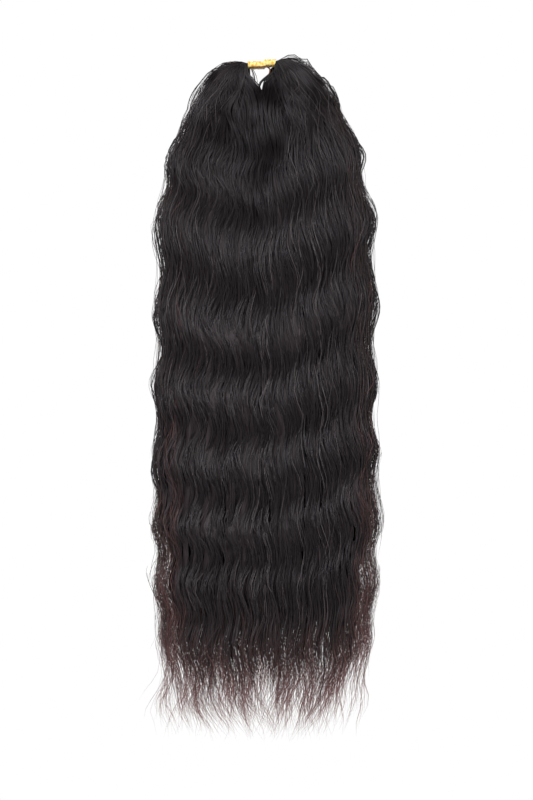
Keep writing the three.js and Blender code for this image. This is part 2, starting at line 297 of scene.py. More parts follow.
def arch_points(hair, angle):
    """Points of the arch, from angle 0 at the tie to a quarter turn where the hair hangs."""
    fall = hair["fall"]
    side = FALLS["side"][fall]
    drop = hair["turn_drop"] * (1 - np.cos(angle) ** ARCH_SLOPE)
    fanned = smoothstep(drop, FAN_START * hair["turn_drop"], hair["turn_drop"])
    sideways = lerp(np.sin(angle) ** ARCH_SLOPE, fanned, hair["fan"])
    bowed = np.sin(2 * angle)
    out = lerp(ARCH_START, hair["turn_out"], sideways) + hair["bow"] * bowed
    out = out - tucked_in(hair, hair["root_u"], drop)
    place = side * np.clip(out / mass_at("half_width", drop), 0, 1)
    sway, swell = waves(hair, place, hair["root_v"], drop)
    x = side * out + sway + HANK_OFFSET * smoothstep(angle, 0, np.pi / 2)
    spread = smoothstep(angle, 0, lerp(np.pi / 3, np.pi / 7, hair["fan"]))
    depth = mass_at("half_depth", drop) * sunk_in(hair, drop) + swell + hair["lie"] * bowed
    y = lerp(hair["bundle_y"], hair["root_v"] * depth, spread)
    hump = hair["hump"] * FALLS["hump"][fall] * (1 - hair["fan"]) * np.maximum(0, np.sin(4 * angle))
    lift = FALLS["lift"][fall] * (1 - smoothstep(angle, 0, np.pi / 3))
    crimp = CRIMP * hair["drift"] * (1 - hair["fan"]) * slow_wave(out, CRIMP_LENGTH, hair["drift_start"])
    z = hair["bundle_z"] - drop + lift + hump + (hair["rise"] + crimp) * bowed
    return np.stack(np.broadcast_arrays(x, y, z), axis=-1)


def hanging_points(hair, drop):
    """Points of the hanging hair at each drop."""
    fall = hair["fall"]
    side = FALLS["side"][fall]
    hung = drop - hair["turn_drop"]
    twist = hair["twist"] * np.maximum(0, hung) / TWIST_LENGTH
    u, v = section_place(hair["turn"] + twist, hair["out"])
    lock_u, lock_v = section_place(hair["lock_turn"] + twist, hair["lock_out"])
    clump = hair["clump"] * (0.5 + 0.5 * slow_wave(drop, CLUMP_LENGTH, hair["clump_start"]))
    clump = lerp(hair["gather"], clump, smoothstep(hung, 0, CLUMP_START))
    clump = lerp(clump, hair["end_clump"], smoothstep(drop, *TIPS_GATHER))
    u = lerp(u, lock_u, clump)
    v = lerp(v, lock_v, clump)
    u = u - MIDDLE_CROSSING * (1 - np.clip(u, 0, 1)) ** 2 * smoothstep(drop, *WAVES_FADE)
    still_out = hair["turn_out"] - hair["root_u"] * mass_at("half_width", hair["turn_drop"])
    closing = still_out * np.exp(-hung / FALLS["closing"][fall])
    x = side * (u * mass_at("half_width", drop) + closing - tucked_in(hair, u, drop))

    sway, swell = waves(hair, side * u, v, drop)
    loose = smoothstep(hung, 0, LOOSENING)
    drift_x = hair["drift"] * slow_wave(drop, DRIFT_LENGTHS[0], hair["drift_start"])
    drift_out = slow_wave(drop, DRIFT_LENGTHS[1], DRIFT_LAG * hair["drift_start"])
    drift_out = DRIFT_DEPTH * hair["drift"] * drift_out
    stray_x = stray_wave(drop, STRAY_X_LENGTHS, hair["stray_x"], hair["stray_y"])
    stray_y = stray_wave(drop, STRAY_Y_LENGTHS, hair["stray_y"], hair["stray_x"])
    x = x + HANK_OFFSET + sway + loose * (drift_x + hair["stray"] * stray_x)
    depth = mass_at("half_depth", drop) * sunk_in(hair, drop) + swell + loose * drift_out
    y = hair["flat"] * v * depth + loose * hair["stray"] * stray_y
    return np.stack(np.broadcast_arrays(x, y, hair["bundle_z"] - drop), axis=-1)


def strand_hair(fall, turn, out, lock_turn, lock_out, lock_of, tuft_of):
    """The values of each strand: its place, its lock's place and how its lock, its tuft and itself differ."""
    count = len(turn)
    locks = lock_of.max() + 1
    tufts = tuft_of.max() + 1
    u, v = section_place(turn, out)
    hair = {"fall": np.full(count, fall), "turn": turn, "out": out, "lock": lock_of}
    hair["twist"] = np.full(count, FALLS["twist"][fall])
    hair["lock_turn"] = lock_turn[lock_of]
    hair["lock_out"] = lock_out[lock_of]
    on_face = smoothstep(u, 0.08, 0.35) * smoothstep(np.abs(v), 0.3, 0.8)
    hair["fan"] = on_face * rng.uniform(0.75, 1, locks)[lock_of]
    hair["fan_length"] = rng.uniform(0.85, 1.1, locks)[lock_of]
    hair["rise"] = rng.normal(0, 0.8, locks)[lock_of] + rng.normal(0, 0.3, count)
    hair["hump"] = np.full(count, 0.55)
    hair["tuck"] = np.full(count, 8.0)
    hair["sink"] = np.zeros(count)
    hair["flat"] = np.ones(count)
    hair["gather"] = rng.uniform(0.05, 0.5, locks)[lock_of]
    hair["bow"] = hair["fan"] * (rng.normal(0, 3.2, locks)[lock_of] + rng.normal(0, 0.5, tufts)[tuft_of])
    hair["lie"] = hair["fan"] * rng.uniform(0, 3, locks)[lock_of]
    hair["clump"] = rng.uniform(0.15, 0.6, locks)[lock_of]
    hair["clump_start"] = rng.uniform(0, 1, locks)[lock_of]
    hair["end_clump"] = rng.uniform(0.1, 0.5, locks)[lock_of]
    hair["shift"] = rng.normal(0, 0.42, locks)[lock_of] + rng.normal(0, 0.15, tufts)[tuft_of]
    hair["gain"] = rng.uniform(0.7, 1.25, locks)[lock_of] * rng.normal(1, 0.1, tufts)[tuft_of]
    hair["gain_start"] = rng.uniform(0, 1, locks)[lock_of]
    hair["drift"] = rng.uniform(0.3, 1.6, locks)[lock_of]
    hair["drift_start"] = rng.uniform(0, 1, locks)[lock_of]
    hair["stray"] = rng.uniform(0.2, 0.9, tufts)[tuft_of] + rng.exponential(0.1, count)
    hair["stray_x"] = rng.uniform(0, 1, tufts)[tuft_of] + rng.normal(0, 0.05, count)
    hair["stray_y"] = rng.uniform(0, 1, tufts)[tuft_of] + rng.normal(0, 0.05, count)
    hair["end_u"], _ = section_place(turn + FALLS["twist"][fall], out)
    lock_reach = LOCK_REACH + rng.normal(0, 11, locks)[lock_of] - EDGE_RISE * np.abs(hair["end_u"]) ** 4
    hair["reach"] = np.minimum(lock_reach + rng.exponential(9, count), LONGEST_LOCK)
    hair["point"] = np.full(count, 24.0)  # length of the pointed end
    # The browner end is painted light, shining through the thin tip
    hair["browning"] = np.full(count, 48.0)  # length of the end that gets browner
    tone = rng.normal(0.4, 0.14, locks)[lock_of] + rng.normal(0, 0.2, tufts)[tuft_of]
    tone = tone + rng.normal(0, 0.08, count)
    # Painted light and shade: the fall's sheen lightens the left fall, and strands near the middle of the
    # hank, between the falls, are darker
    tone = tone * lerp(0.74, 1, smoothstep(np.abs(u), 0.1, 0.5)) * FALLS["sheen"][fall]
    hair["tone"] = np.clip(tone, 0, MIDDLE_TONE)
    # Painted shade: a strand's tone is darker near the tie
    hair["root_dim"] = np.full(count, 0.6)  # by what share it is darker near the tie
    hair["radius"] = STRAND_RADIUS * rng.uniform(0.7, 1.2, count)
    light = rng.uniform(0, 1, count) < LIGHT_SHARE
    hair["tone"][light] = 1
    hair["radius"][light] *= 0.6
    set_roots(hair)
    return hair


def columns(hair):
    """The strands' values as columns, to go with rows of stations."""
    return {name: np.asarray(value)[:, None] for name, value in hair.items()}


def arch_paths(column):
    """The start inside the tie, a little past its middle, and the arch out of it."""
    start = np.stack([-FALLS["side"][column["fall"]], column["bundle_y"], column["bundle_z"]], axis=-1)
    angle = np.linspace(0, np.pi / 2, ARCH_STATIONS, endpoint=False)[None, :]
    return np.concatenate([start, arch_points(column, angle)], axis=1)


def full_paths(hair):
    """Strands from inside the tie to their tips."""
    column = columns(hair)
    drop = lerp(column["turn_drop"], column["reach"], np.linspace(0, 1, HANG_STATIONS)[None, :])
    return np.concatenate([arch_paths(column), hanging_points(column, drop)], axis=1)


def wisp_paths(hair, root_drop, lean_spread):
    """Fine ends that start inside the mass and follow its waves, each with its own lean and kinks."""
    column = columns(hair)
    count = len(root_drop)
    lock_of = hair["lock"]
    locks = lock_of.max() + 1
    run = (hair["reach"] - root_drop)[:, None] * np.linspace(0, 1, WISP_STATIONS)[None, :]
    paths = hanging_points(column, root_drop[:, None] + run)
    lean = rng.normal(0, lean_spread, (locks, 1))[lock_of] + rng.normal(0, OWN_LEAN * lean_spread, (count, 1))
    end_u = np.abs(column["end_u"])
    lean = lean * (1 - EDGE_STILLNESS * end_u**4) - EDGE_INWARD * FALLS["side"][column["fall"]] * end_u**3
    bend = rng.normal(0, BENDS[0], (locks, 1))[lock_of] + rng.normal(0, BENDS[1], (count, 1))
    length = rng.uniform(*KINK_LENGTHS, (locks, 1))[lock_of] + rng.normal(0, 2, (count, 1))
    start = rng.uniform(0, 1, (locks, 1))[lock_of] + rng.normal(0, 0.08, (count, 1))
    kink = rng.uniform(*KINK_SIZES, (count, 1)) * slow_wave(run, length, start)
    paths[:, :, 0] += lean * run + bend * run**2 + smoothstep(run, 0, KINKS_GROW) * kink
    paths[:, :, 1] += rng.normal(0, DEPTH_LEAN, (count, 1)) * run
    return paths


def guided_paths(guide, count, spread):
    """Strands along a guide, spread a little round it."""
    stations = np.linspace(0, len(guide) - 1, 3 * len(guide))
    middle = np.stack([np.interp(stations, np.arange(len(guide)), axis) for axis in zip(*guide)], axis=-1)
    kernel = np.array((0.25, 0.5, 0.25))
    for axis in range(3):
        middle[1:-1, axis] = np.convolve(middle[:, axis], kernel, mode="valid")
    offset = np.clip(rng.normal(0, spread, (count, 1, 3)), -1.8 * spread, 1.8 * spread)
    wander = rng.normal(0, 0.4 * spread, (count, 1, 3)) * np.sin(0.4 * stations)[None, :, None]
    return middle[None, :, :] + offset + wander


def away_from_tie(paths, near, far):
    """From 0 near the tie to 1 far from it, by the distance out and down."""
    return smoothstep(np.abs(paths[:, :, 0]) - paths[:, :, 2], near, far)


def distance_to_end(paths):
    """How far each point of a strand is from its tip, along the strand."""
    steps = np.linalg.norm(np.diff(paths, axis=1), axis=2)
    return np.concatenate([np.cumsum(steps[:, ::-1], axis=1)[:, ::-1], np.zeros((len(paths), 1))], axis=1)


def strand_radii(hair, paths):
    """Thin in the tie, full where the hair hangs, and pointed at the end."""
    to_end = np.clip(distance_to_end(paths) / hair["point"][:, None], POINT_SHARE, 1)
    return hair["radius"][:, None] * lerp(TIE_THINNESS, 1, away_from_tie(paths, *THICKENING)) * to_end


def strand_object(name, hair, paths, material):
    """A piece of closed three-sided strands, with their tone and nearness to the tip and to the tie."""
    count, stations, _ = paths.shape
    along = np.gradient(paths, axis=1)
    along /= np.linalg.norm(along, axis=2, keepdims=True)
    across = np.cross(along, (0.0, 1.0, 0.0))
    across /= np.linalg.norm(across, axis=2, keepdims=True)
    facing = np.cross(across, along)
    angle = rng.uniform(0, 2 * np.pi, count)[:, None] + np.arange(3) * 2 * np.pi / 3
    ring = (np.cos(angle)[:, None, :, None] * across[:, :, None, :]
            + np.sin(angle)[:, None, :, None] * facing[:, :, None, :])
    points = paths[:, :, None, :] + strand_radii(hair, paths)[:, :, None, None] * ring

    corner = np.arange(count * stations * 3).reshape(count, stations, 3)
    following = np.roll(corner, -1, axis=2)
    sides = np.stack([corner[:, :-1], corner[:, 1:], following[:, 1:], following[:, :-1]], axis=-1)
    ends = np.concatenate([corner[:, 0], corner[:, -1, ::-1]])
    mesh = bpy.data.meshes.new(name)
    mesh.from_pydata(points.reshape(-1, 3) * MM, [], sides.reshape(-1, 4).tolist() + ends.tolist(),
                     shade_flat=False)
    tip = 1 - smoothstep(distance_to_end(paths), 0, hair["browning"][:, None])
    root = 1 - away_from_tie(paths, *ROOT_REACH)
    # The tone carries painted shade near the tie
    tone = hair["tone"][:, None] * (1 - hair["root_dim"][:, None] * root)
    values = {"tone": np.repeat(tone, 3), "tip": np.repeat(tip, 3), "root": np.repeat(root, 3)}
    for attribute, value in values.items():
        mesh.attributes.new(attribute, "FLOAT", "POINT").data.foreach_set("value", value.astype(np.float32))
    add_piece(name, mesh, material, "hair_hank")


def add_piece(name, mesh, material, node):
    """Put a mesh into the scene in place of a node of the part."""
    piece = bpy.data.objects.new(name, mesh)
    bpy.context.scene.collection.objects.link(piece)
    mesh.materials.append(material)
    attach(piece, "root")
    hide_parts(node)


# Materials

def material_nodes(name, roughness):
    """A new material with its nodes, its links and its shader."""
    material = bpy.data.materials.new(name)
    material.use_nodes = True
    nodes = material.node_tree.nodes
    shader = nodes["Principled BSDF"]
    shader.inputs["Roughness"].default_value = roughness
    return material, nodes, material.node_tree.links, shader


def attribute_value(nodes, attribute):
    """What a point's attribute says."""
    reading = nodes.new("ShaderNodeAttribute")
    reading.attribute_name = attribute
    return reading.outputs["Fac"]


def mottled(nodes, links, place, scale, low, high):
    """Noise, and its shades from a low to a high colour; each has the noise value where it is pure."""
    noise = nodes.new("ShaderNodeTexNoise")
    noise.inputs["Scale"].default_value = scale
    noise.inputs["Detail"].default_value = 4
    shades = nodes.new("ShaderNodeValToRGB")
    for element, (value, colour) in zip(shades.color_ramp.elements, (low, high)):
        element.position = value
        element.color = (*colour, 1)
    links.new(place, noise.inputs["Vector"])
    links.new(noise.outputs["Fac"], shades.inputs["Fac"])
    return noise.outputs["Fac"], shades.outputs["Color"]


ROOT_ROUGHNESS = 0.62  # the hair is duller near the tie
SHEEN = 0.5  # specular level away from the tie
PATCH_SHEEN = (0.13, 1.0)  # the least and the most specular level in patches near the tie
PATCH_SIZE = 0.024  # metres across such a patch
PATCH_CONTRAST = (0.35, 0.65)  # noise values with the least and the most sheen


def hair_material(name, dark, middle, light, tip_colour, roughness):
    """Strands: dark to light by their tone, browner towards the tip as painted light through the thin ends,
    with patches of sheen near the tie.
    """
    material, nodes, links, shader = material_nodes(name, roughness)
    shades = nodes.new("ShaderNodeValToRGB")
    shades.color_ramp.elements[0].color = (*dark, 1)
    shades.color_ramp.elements[1].color = (*light, 1)
    shades.color_ramp.elements.new(MIDDLE_TONE).color = (*middle, 1)
    browned = nodes.new("ShaderNodeMix")
    browned.data_type = "RGBA"
    browned.inputs["B"].default_value = (*tip_colour, 1)
    links.new(attribute_value(nodes, "tone"), shades.inputs["Fac"])
    links.new(attribute_value(nodes, "tip"), browned.inputs["Factor"])
    links.new(shades.outputs["Color"], browned.inputs["A"])
    links.new(browned.outputs["Result"], shader.inputs["Base Color"])
    root = attribute_value(nodes, "root")
    dulled = nodes.new("ShaderNodeMapRange")
    dulled.inputs["To Min"].default_value = roughness
    dulled.inputs["To Max"].default_value = ROOT_ROUGHNESS
    place = nodes.new("ShaderNodeTexCoord")
    patches = nodes.new("ShaderNodeTexNoise")
    patches.inputs["Scale"].default_value = 1 / PATCH_SIZE
    patches.inputs["Detail"].default_value = 1
    sheen = nodes.new("ShaderNodeMapRange")
    limits = (*PATCH_CONTRAST, *PATCH_SHEEN)
    for socket, limit in zip(("From Min", "From Max", "To Min", "To Max"), limits):
        sheen.inputs[socket].default_value = limit
    patched = nodes.new("ShaderNodeMix")
    patched.inputs["A"].default_value = SHEEN
    links.new(root, dulled.inputs["Value"])
    links.new(dulled.outputs["Result"], shader.inputs["Roughness"])
    links.new(place.outputs["Object"], patches.inputs["Vector"])
    links.new(patches.outputs["Fac"], sheen.inputs["Value"])
    links.new(root, patched.inputs["Factor"])
    links.new(sheen.outputs["Result"], patched.inputs["B"])
    links.new(patched.outputs["Result"], shader.inputs["Specular IOR Level"])
    return material


strand_finish = hair_material(
    "hair_strands",
    dark=(0.0042, 0.0031, 0.0037),
    middle=(0.0165, 0.0124, 0.0142),
    light=(0.125, 0.11, 0.109),
    tip_colour=(0.045, 0.026, 0.024),
    roughness=0.42,
)
# Painted light: the wisps' browner, lighter colours stand for light shining through thin hair
wisp_finish = hair_material(
    "hair_wisps",
    dark=(0.012, 0.0075, 0.0072),
    middle=(0.045, 0.024, 0.021),
    light=(0.12, 0.07, 0.062),
    tip_colour=(0.205, 0.098, 0.086),
    roughness=0.5,
)
# Painted light: the edge strands' browner, lighter colours stand for light shining through thin hair
edge_finish = hair_material(
    "hair_edges",
    dark=(0.016, 0.0105, 0.01),
    middle=(0.05, 0.033, 0.03),
    light=(0.12, 0.09, 0.085),
    tip_colour=(0.12, 0.062, 0.054),
    roughness=0.5,
)


STREAK_SCALE = 1.3
STREAK_RELIEF = 0.0006  # metres
CORE_SHEEN = 0.25  # specular level


def core_material(name, dark, light, roughness):
    """Fine streaks along the hair, from how far across and how far along the hair a point is."""
    material, nodes, links, shader = material_nodes(name, roughness)
    place = nodes.new("ShaderNodeCombineXYZ")
    links.new(attribute_value(nodes, "across"), place.inputs["X"])
    links.new(attribute_value(nodes, "along"), place.inputs["Y"])
    streaks, shades = mottled(
        nodes, links, place.outputs["Vector"], STREAK_SCALE, low=(0.3, dark), high=(0.75, light))
    relief = nodes.new("ShaderNodeBump")
    relief.inputs["Strength"].default_value = 0.6
    relief.inputs["Distance"].default_value = STREAK_RELIEF
    links.new(streaks, relief.inputs["Height"])
    links.new(shades, shader.inputs["Base Color"])
    links.new(relief.outputs["Normal"], shader.inputs["Normal"])
    shader.inputs["Specular IOR Level"].default_value = CORE_SHEEN
    return material


core_finish = core_material(
    "hair_depth", dark=(0.009, 0.0066, 0.0074), light=(0.026, 0.0185, 0.02), roughness=0.5)


# Locks of strands over the front and back of both falls

LOCK_HALF = 0.7  # how far a lock's outermost strands are from its middle, as a share of its width


def quarter_hair(fall, first_turn, strands_per_tuft):
    """Strands of one fall's front or back, in locks whose middles stand out."""
    width = (OUTER_SHARE + FALLS["twist"][fall]) / 2 / LOCKS_PER_QUARTER
    lock_turn, lock_out = [], []
    for layer, out in enumerate(LAYERS):
        middles = first_turn + (np.arange(LOCKS_PER_QUARTER) + 0.25 + 0.5 * layer) * width
        lock_turn.append(middles + rng.normal(0, 0.12, LOCKS_PER_QUARTER) * width)
        lock_out.append(out + rng.normal(0, 0.008, LOCKS_PER_QUARTER))
    lock_turn = np.concatenate(lock_turn)
    lock_out = np.concatenate(lock_out)
    tuft_of = np.repeat(np.arange(len(lock_turn) * TUFTS_PER_LOCK), strands_per_tuft)
    lock_of = tuft_of // TUFTS_PER_LOCK
    tuft_aside = np.tile(np.linspace(-0.5, 0.5, TUFTS_PER_LOCK), len(lock_turn))
    tuft_aside = tuft_aside + rng.normal(0, 0.08, len(tuft_aside))
    aside = np.clip(tuft_aside[tuft_of] + rng.normal(0, 0.07, len(lock_of)), -LOCK_HALF, LOCK_HALF)
    turn = lock_turn[lock_of] + aside * width
    crown = LOCK_CROWN * (1 - (aside / LOCK_HALF) ** 2)
    out = lock_out[lock_of] + crown + rng.normal(0, 0.008, len(lock_of))
    hair = strand_hair(fall, turn, out, lock_turn, lock_out + LOCK_CROWN, lock_of, tuft_of)
    under = lock_of < LOCKS_PER_QUARTER
    # Painted shade: the lower layer of locks is darker, as if shaded by the layer over it
    hair["tone"][under] *= 0.5
    hair["fan"][under] *= 0.15
    hair["sink"][under] = 0.1
    hair["out"] -= EDGE_DRAW * smoothstep(np.abs(hair["root_u"]), 0.8, 1)
    set_roots(hair)
    edge = smoothstep(np.abs(hair["end_u"]), 0.78, 0.92)
    hair["reach"] -= edge * rng.uniform(*EDGE_LOSS, len(tuft_aside))[tuft_of]
    return hair


for fall, fall_name in FALL_NAMES:
    twist = FALLS["twist"][fall]
    for first_turn, face in ((-twist, "front"), ((OUTER_SHARE - twist) / 2, "back")):
        hair = quarter_hair(fall, first_turn, STRANDS_PER_TUFT[face])
        strand_object(f"locks_{fall_name}_{face}", hair, full_paths(hair), strand_finish)


# Tips, edges, loose strands and under strands of both falls

WISP_LOCKS = 56
WISPS_PER_LOCK = 15
WISP_PLACES = (0.12, 0.97)  # from near the middle of the hank, where both falls overlap, to its edge
WISP_CROWDING = 1.15  # less than EDGE_CROWDING sets more of them near the edge
WISP_LOCK_GAIN = 78.0  # by how much the longest locks of tips pass the ends of the other locks
WISP_EDGE_GAIN = 34.0  # by how much the tips pass them at the edge
WISP_ROOTS = (380.0, 415.0)  # drops at which the tips begin
LEAST_WISP = 45.0
HANK_END = (486.0, 508.0)  # from and to which drop the longest tips reach

EDGE_TURNS = (0.3, 0.5)  # part of the section that is the edge
EDGE_WISP_LOCKS = 90
EDGE_STRAND_LOCKS = 14
EDGE_PER_LOCK = 6
UPPER_SHARE = 0.2  # share of the edge's short ends that stand off its upper part
UPPER_ROOTS = (60.0, 300.0)
LOWER_ROOTS = (290.0, 420.0)

LOOSE_STRANDS = {"front": 44, "back": 22}  # of one fall
LOOSE_TURNS = {"front": (0.07, 0.32), "back": (0.48, 0.78)}
CREST_LOCKS = 8
CREST_STRANDS = 6
CREST_TURNS = (0.28, 0.52)
UNDER_STRANDS = {"front": 64, "back": 48}  # of one fall
UNDER_TURNS = {"front": (0, 0.26), "back": (0.54, OUTER_SHARE)}


def scattered_hair(fall, lock_turn, per_lock, out_range, spread):
    """Strands in small locks at the given turns, scattered through a part of one fall's section."""
    locks = len(lock_turn)
    lock_out = np.sqrt(rng.uniform(out_range[0] ** 2, out_range[1] ** 2, locks))
    lock_of = np.repeat(np.arange(locks), per_lock)
    turn = lock_turn[lock_of] + rng.normal(0, spread, len(lock_of))
    out = lock_out[lock_of] + rng.normal(0, 1.5 * spread, len(lock_of))
    return strand_hair(fall, turn, out, lock_turn, lock_out, lock_of, np.arange(len(lock_of)))


def tip_wisps(fall):
    """Fine tips below the core, across the whole hank and all through its depth."""
    outward = lerp(*WISP_PLACES, (np.arange(WISP_LOCKS) + rng.uniform(0, 1, WISP_LOCKS)) / WISP_LOCKS)
    towards_back = (1 - outward) ** (1 / WISP_CROWDING) * np.resize((-1, 1), WISP_LOCKS)
    lock_turn = OUTER_SHARE * (towards_back + 1) / 2 - FALLS["twist"][fall]
    hair = scattered_hair(fall, lock_turn, WISPS_PER_LOCK, out_range=(0.9, 0.97), spread=0.027)
    lock_of = hair["lock"]
    count = len(lock_of)
    hair["flat"] = rng.uniform(0, 1, WISP_LOCKS)[lock_of]
    hair["end_clump"] = rng.uniform(0.6, 1, WISP_LOCKS)[lock_of]
    hair["radius"] = rng.uniform(0.08, 0.17, count)
    hair["point"] = np.full(count, 16.0)
    hair["browning"] = np.full(count, 80.0)
    longer = WISP_LOCK_GAIN * rng.uniform(0, 1, WISP_LOCKS)[lock_of] ** 2 + rng.exponential(10, count)
    longer += WISP_EDGE_GAIN * np.abs(hair["end_u"]) ** 4
    hair["reach"] = np.minimum(hair["reach"] + longer, rng.uniform(*HANK_END, count))
    root_drop = np.minimum(hair["reach"] - LEAST_WISP, rng.uniform(*WISP_ROOTS, count))
    return hair, wisp_paths(hair, root_drop, lean_spread=0.17)


def edge_wisps(fall):
    """Short ends that stand off the edge, most of them towards the bottom."""
    lock_turn = rng.uniform(*EDGE_TURNS, EDGE_WISP_LOCKS) - 0.8 * FALLS["twist"][fall]
    hair = scattered_hair(fall, lock_turn, EDGE_PER_LOCK, out_range=(0.95, 1.03), spread=0.02)
    count = len(hair["lock"])
    hair["radius"] = rng.uniform(0.09, 0.15, count)
    hair["point"] = np.full(count, 14.0)
    hair["browning"] = np.full(count, 36.0)
    upper = rng.uniform(0, 1, count) < UPPER_SHARE
    root_drop = np.where(upper, rng.uniform(*UPPER_ROOTS, count), rng.uniform(*LOWER_ROOTS, count))
    hair["reach"] = root_drop + rng.uniform(25, 75, count)
    return hair, wisp_paths(hair, root_drop, lean_spread=0.08)


def edge_strands(fall):
    """Long loose strands at the edge, straighter than the rest."""
    lock_turn = rng.uniform(*EDGE_TURNS, EDGE_STRAND_LOCKS)
    hair = scattered_hair(fall, lock_turn, EDGE_PER_LOCK, out_range=(0.98, 1.03), spread=0.02)
    count = len(hair["lock"])
    hair["radius"] *= 0.6
    hair["gain"] *= rng.uniform(0.1, 0.7, count)
    hair["stray"] = rng.uniform(0.4, 1.8, count)
    hair["rise"] = rng.uniform(0, 2, count)
    hair["hump"] = rng.uniform(0.5, 1.2, count)
    hair["tuck"] = rng.uniform(1.5, 6, count)
    hair["reach"] = rng.uniform(330, 460, count)
    return hair, full_paths(hair)


def loose_strands(fall):
    """Fine loose strands that cross the locks of the front and the back."""
    lock_turn = np.concatenate([
        rng.uniform(*LOOSE_TURNS[face], count) for face, count in LOOSE_STRANDS.items()
    ])
    hair = scattered_hair(fall, lock_turn, 1, out_range=(1.0, 1.04), spread=0.02)
    count = len(hair["lock"])
    hair["radius"] *= 0.55
    hair["tone"] = rng.uniform(0.4, 1, count)
    # These loose strands get no painted shade near the tie
    hair["root_dim"] = np.zeros(count)
    hair["fan"] *= rng.uniform(0, 1, count)
    hair["bow"] = rng.normal(0, 4, count) * smoothstep(hair["root_u"], 0.1, 0.4)
    hair["gain"] *= rng.uniform(0.3, 1, count)
    hair["stray"] = rng.uniform(0.8, 2.6, count)
    hair["reach"] = rng.uniform(120, 440, count)
    set_roots(hair)
    return hair, full_paths(hair)


def crest_locks(fall):
    """Thin locks that loop out over the crest and leave slits under them."""
    lock_turn = rng.uniform(*CREST_TURNS, CREST_LOCKS)
    hair = scattered_hair(fall, lock_turn, CREST_STRANDS, out_range=(0.99, 1.02), spread=0.007)
    lock_of = hair["lock"]
    count = len(lock_of)
    hair["radius"] *= 0.7
    hair["drift"] *= 2.2
    hair["rise"] = rng.uniform(0.2, 2.2, CREST_LOCKS)[lock_of] + rng.normal(0, 0.2, count)
    hair["hump"] = rng.uniform(0.8, 1.7, CREST_LOCKS)[lock_of]
    hair["tuck"] = rng.uniform(1, 5, CREST_LOCKS)[lock_of]
    hair["reach"] = rng.uniform(180, 360, CREST_LOCKS)[lock_of] + rng.uniform(0, 40, count)
    return hair, full_paths(hair)


def under_strands(fall):
    """Even strands under the locks, which fill the slits between them."""
    lock_turn = np.concatenate([
        np.linspace(*(np.array(UNDER_TURNS[face]) - FALLS["twist"][fall]), count)
        for face, count in UNDER_STRANDS.items()
    ])
    hair = scattered_hair(fall, lock_turn, 1, out_range=(0.945, 0.96), spread=0.002)
    count = len(hair["lock"])
    hair["radius"] = rng.uniform(0.24, 0.32, count)
    # Painted shade: these strands under the locks are darker
    hair["tone"] *= 0.6
    hair["fan"] *= 0.15
    hair["drift"] *= 0.4
    hair["sink"] = np.full(count, 0.12)
    hair["reach"] = rng.uniform(412, 470, count)
    set_roots(hair)
    return hair, full_paths(hair)


SCATTERED_HAIR = (
    ("tip_wisps", tip_wisps, wisp_finish),
    ("edge_wisps", edge_wisps, wisp_finish),
    ("edge_strands", edge_strands, edge_finish),
    ("loose_strands", loose_strands, strand_finish),
    ("crest_locks", crest_locks, strand_finish),
    ("under_strands", under_strands, strand_finish),
)
for fall, fall_name in FALL_NAMES:
    for name, make_hair, finish in SCATTERED_HAIR:
        hair, paths = make_hair(fall)
        strand_object(f"{name}_{fall_name}", hair, paths, finish)


# Thin locks beside and across the gap below the tie

# How far the strands of each lock spread, and points x, y, z along it
GAP_LOCKS = {
    "gap_lock_left": (0.75, [
        (-11.2, 0, -1.5), (-10.3, 0, -4), (-10.1, 0, -7), (-10.4, 0, -9.5), (-8.7, 0, -13),
        (-5.8, -1, -17.5), (-3.8, -3, -24), (-2.6, -6, -34),
    ]),
    "gap_lock_right": (0.8, [
        (11.5, 3, -1.5), (8.6, 3.2, -3.2), (7.2, 3.4, -5.2), (6.9, 3.2, -7.6), (5.5, 2.6, -10.5),
        (4.7, 1.5, -13.5), (2.6, 0, -18), (1.2, -2, -22), (0.8, -5, -30),
    ]),
    "gap_lock_crossing": (0.36, [
        (9, 2, -5.5), (6.6, 1.6, -7.2), (4, 1.2, -9.3), (1.3, 0.8, -11.6), (-1, 0.4, -14.2),
        (-2.0, 0, -17), (-2.3, -2, -22), (-2.6, -5, -30),
    ]),
    "gap_lock_behind": (0.7, [
        (12.5, 2, -3), (10.6, 2, -5), (9.6, 1.6, -7.5), (8.6, 1, -11), (7.2, 0, -16), (6, -2, -24),
    ]),
}
GAP_STRANDS = 50  # of each lock

for name, (spread, guide) in GAP_LOCKS.items():
    paths = guided_paths(guide, GAP_STRANDS, spread)
    hair = {
        "radius": rng.uniform(0.16, 0.26, GAP_STRANDS),
        "point": np.full(GAP_STRANDS, 8.0),
        "browning": np.full(GAP_STRANDS, 1.0),
        "tone": rng.uniform(0.2, 0.7, GAP_STRANDS),
        # Painted shade: the gap locks are darker near the tie
        "root_dim": np.full(GAP_STRANDS, 0.6),
    }
    strand_object(name, hair, paths, strand_finish)


# Dark core under the strands

CORE_SIDES = 120  # of a whole turn round the section
CORE_DROP = 429.0
CORE_END_DEPTH = 0.25  # share of its depth that is left at its end
CORE_THINNING = 60.0  # drop over which it gets so thin
CORE_EDGE = (0.77, 0.95)  # places across the hank between which it gets shorter
CORE_EDGE_RISE = 95.0  # how much shorter it is at the edge
CORE_RAGGED = 13.0  # by how much its end rises and falls across the hank
STREAK_STRETCH = 0.02  # a streak's width as a share of its length
SECTION_ROUND = 240.0  # about how long a fall's section is round
CORE_HANG_STATIONS = 60
CORE_STATION_CROWDING = 1.1  # more than 1 sets the stations closer near the top
# What the core has of a strand's values, and what it does without
CORE_VALUES = {"out": 0.93, "gain": 1, "fan_length": 1, "flat": 1, "hump": 0.45, "tuck": 8.5, "sink": 0.2}
CORE_STILL = (
    "fan", "twist", "rise", "bow", "lie", "gather", "clump", "clump_start", "end_clump", "shift",
    "gain_start", "drift", "drift_start", "stray", "stray_x", "stray_y", "lock_turn", "lock_out",
)


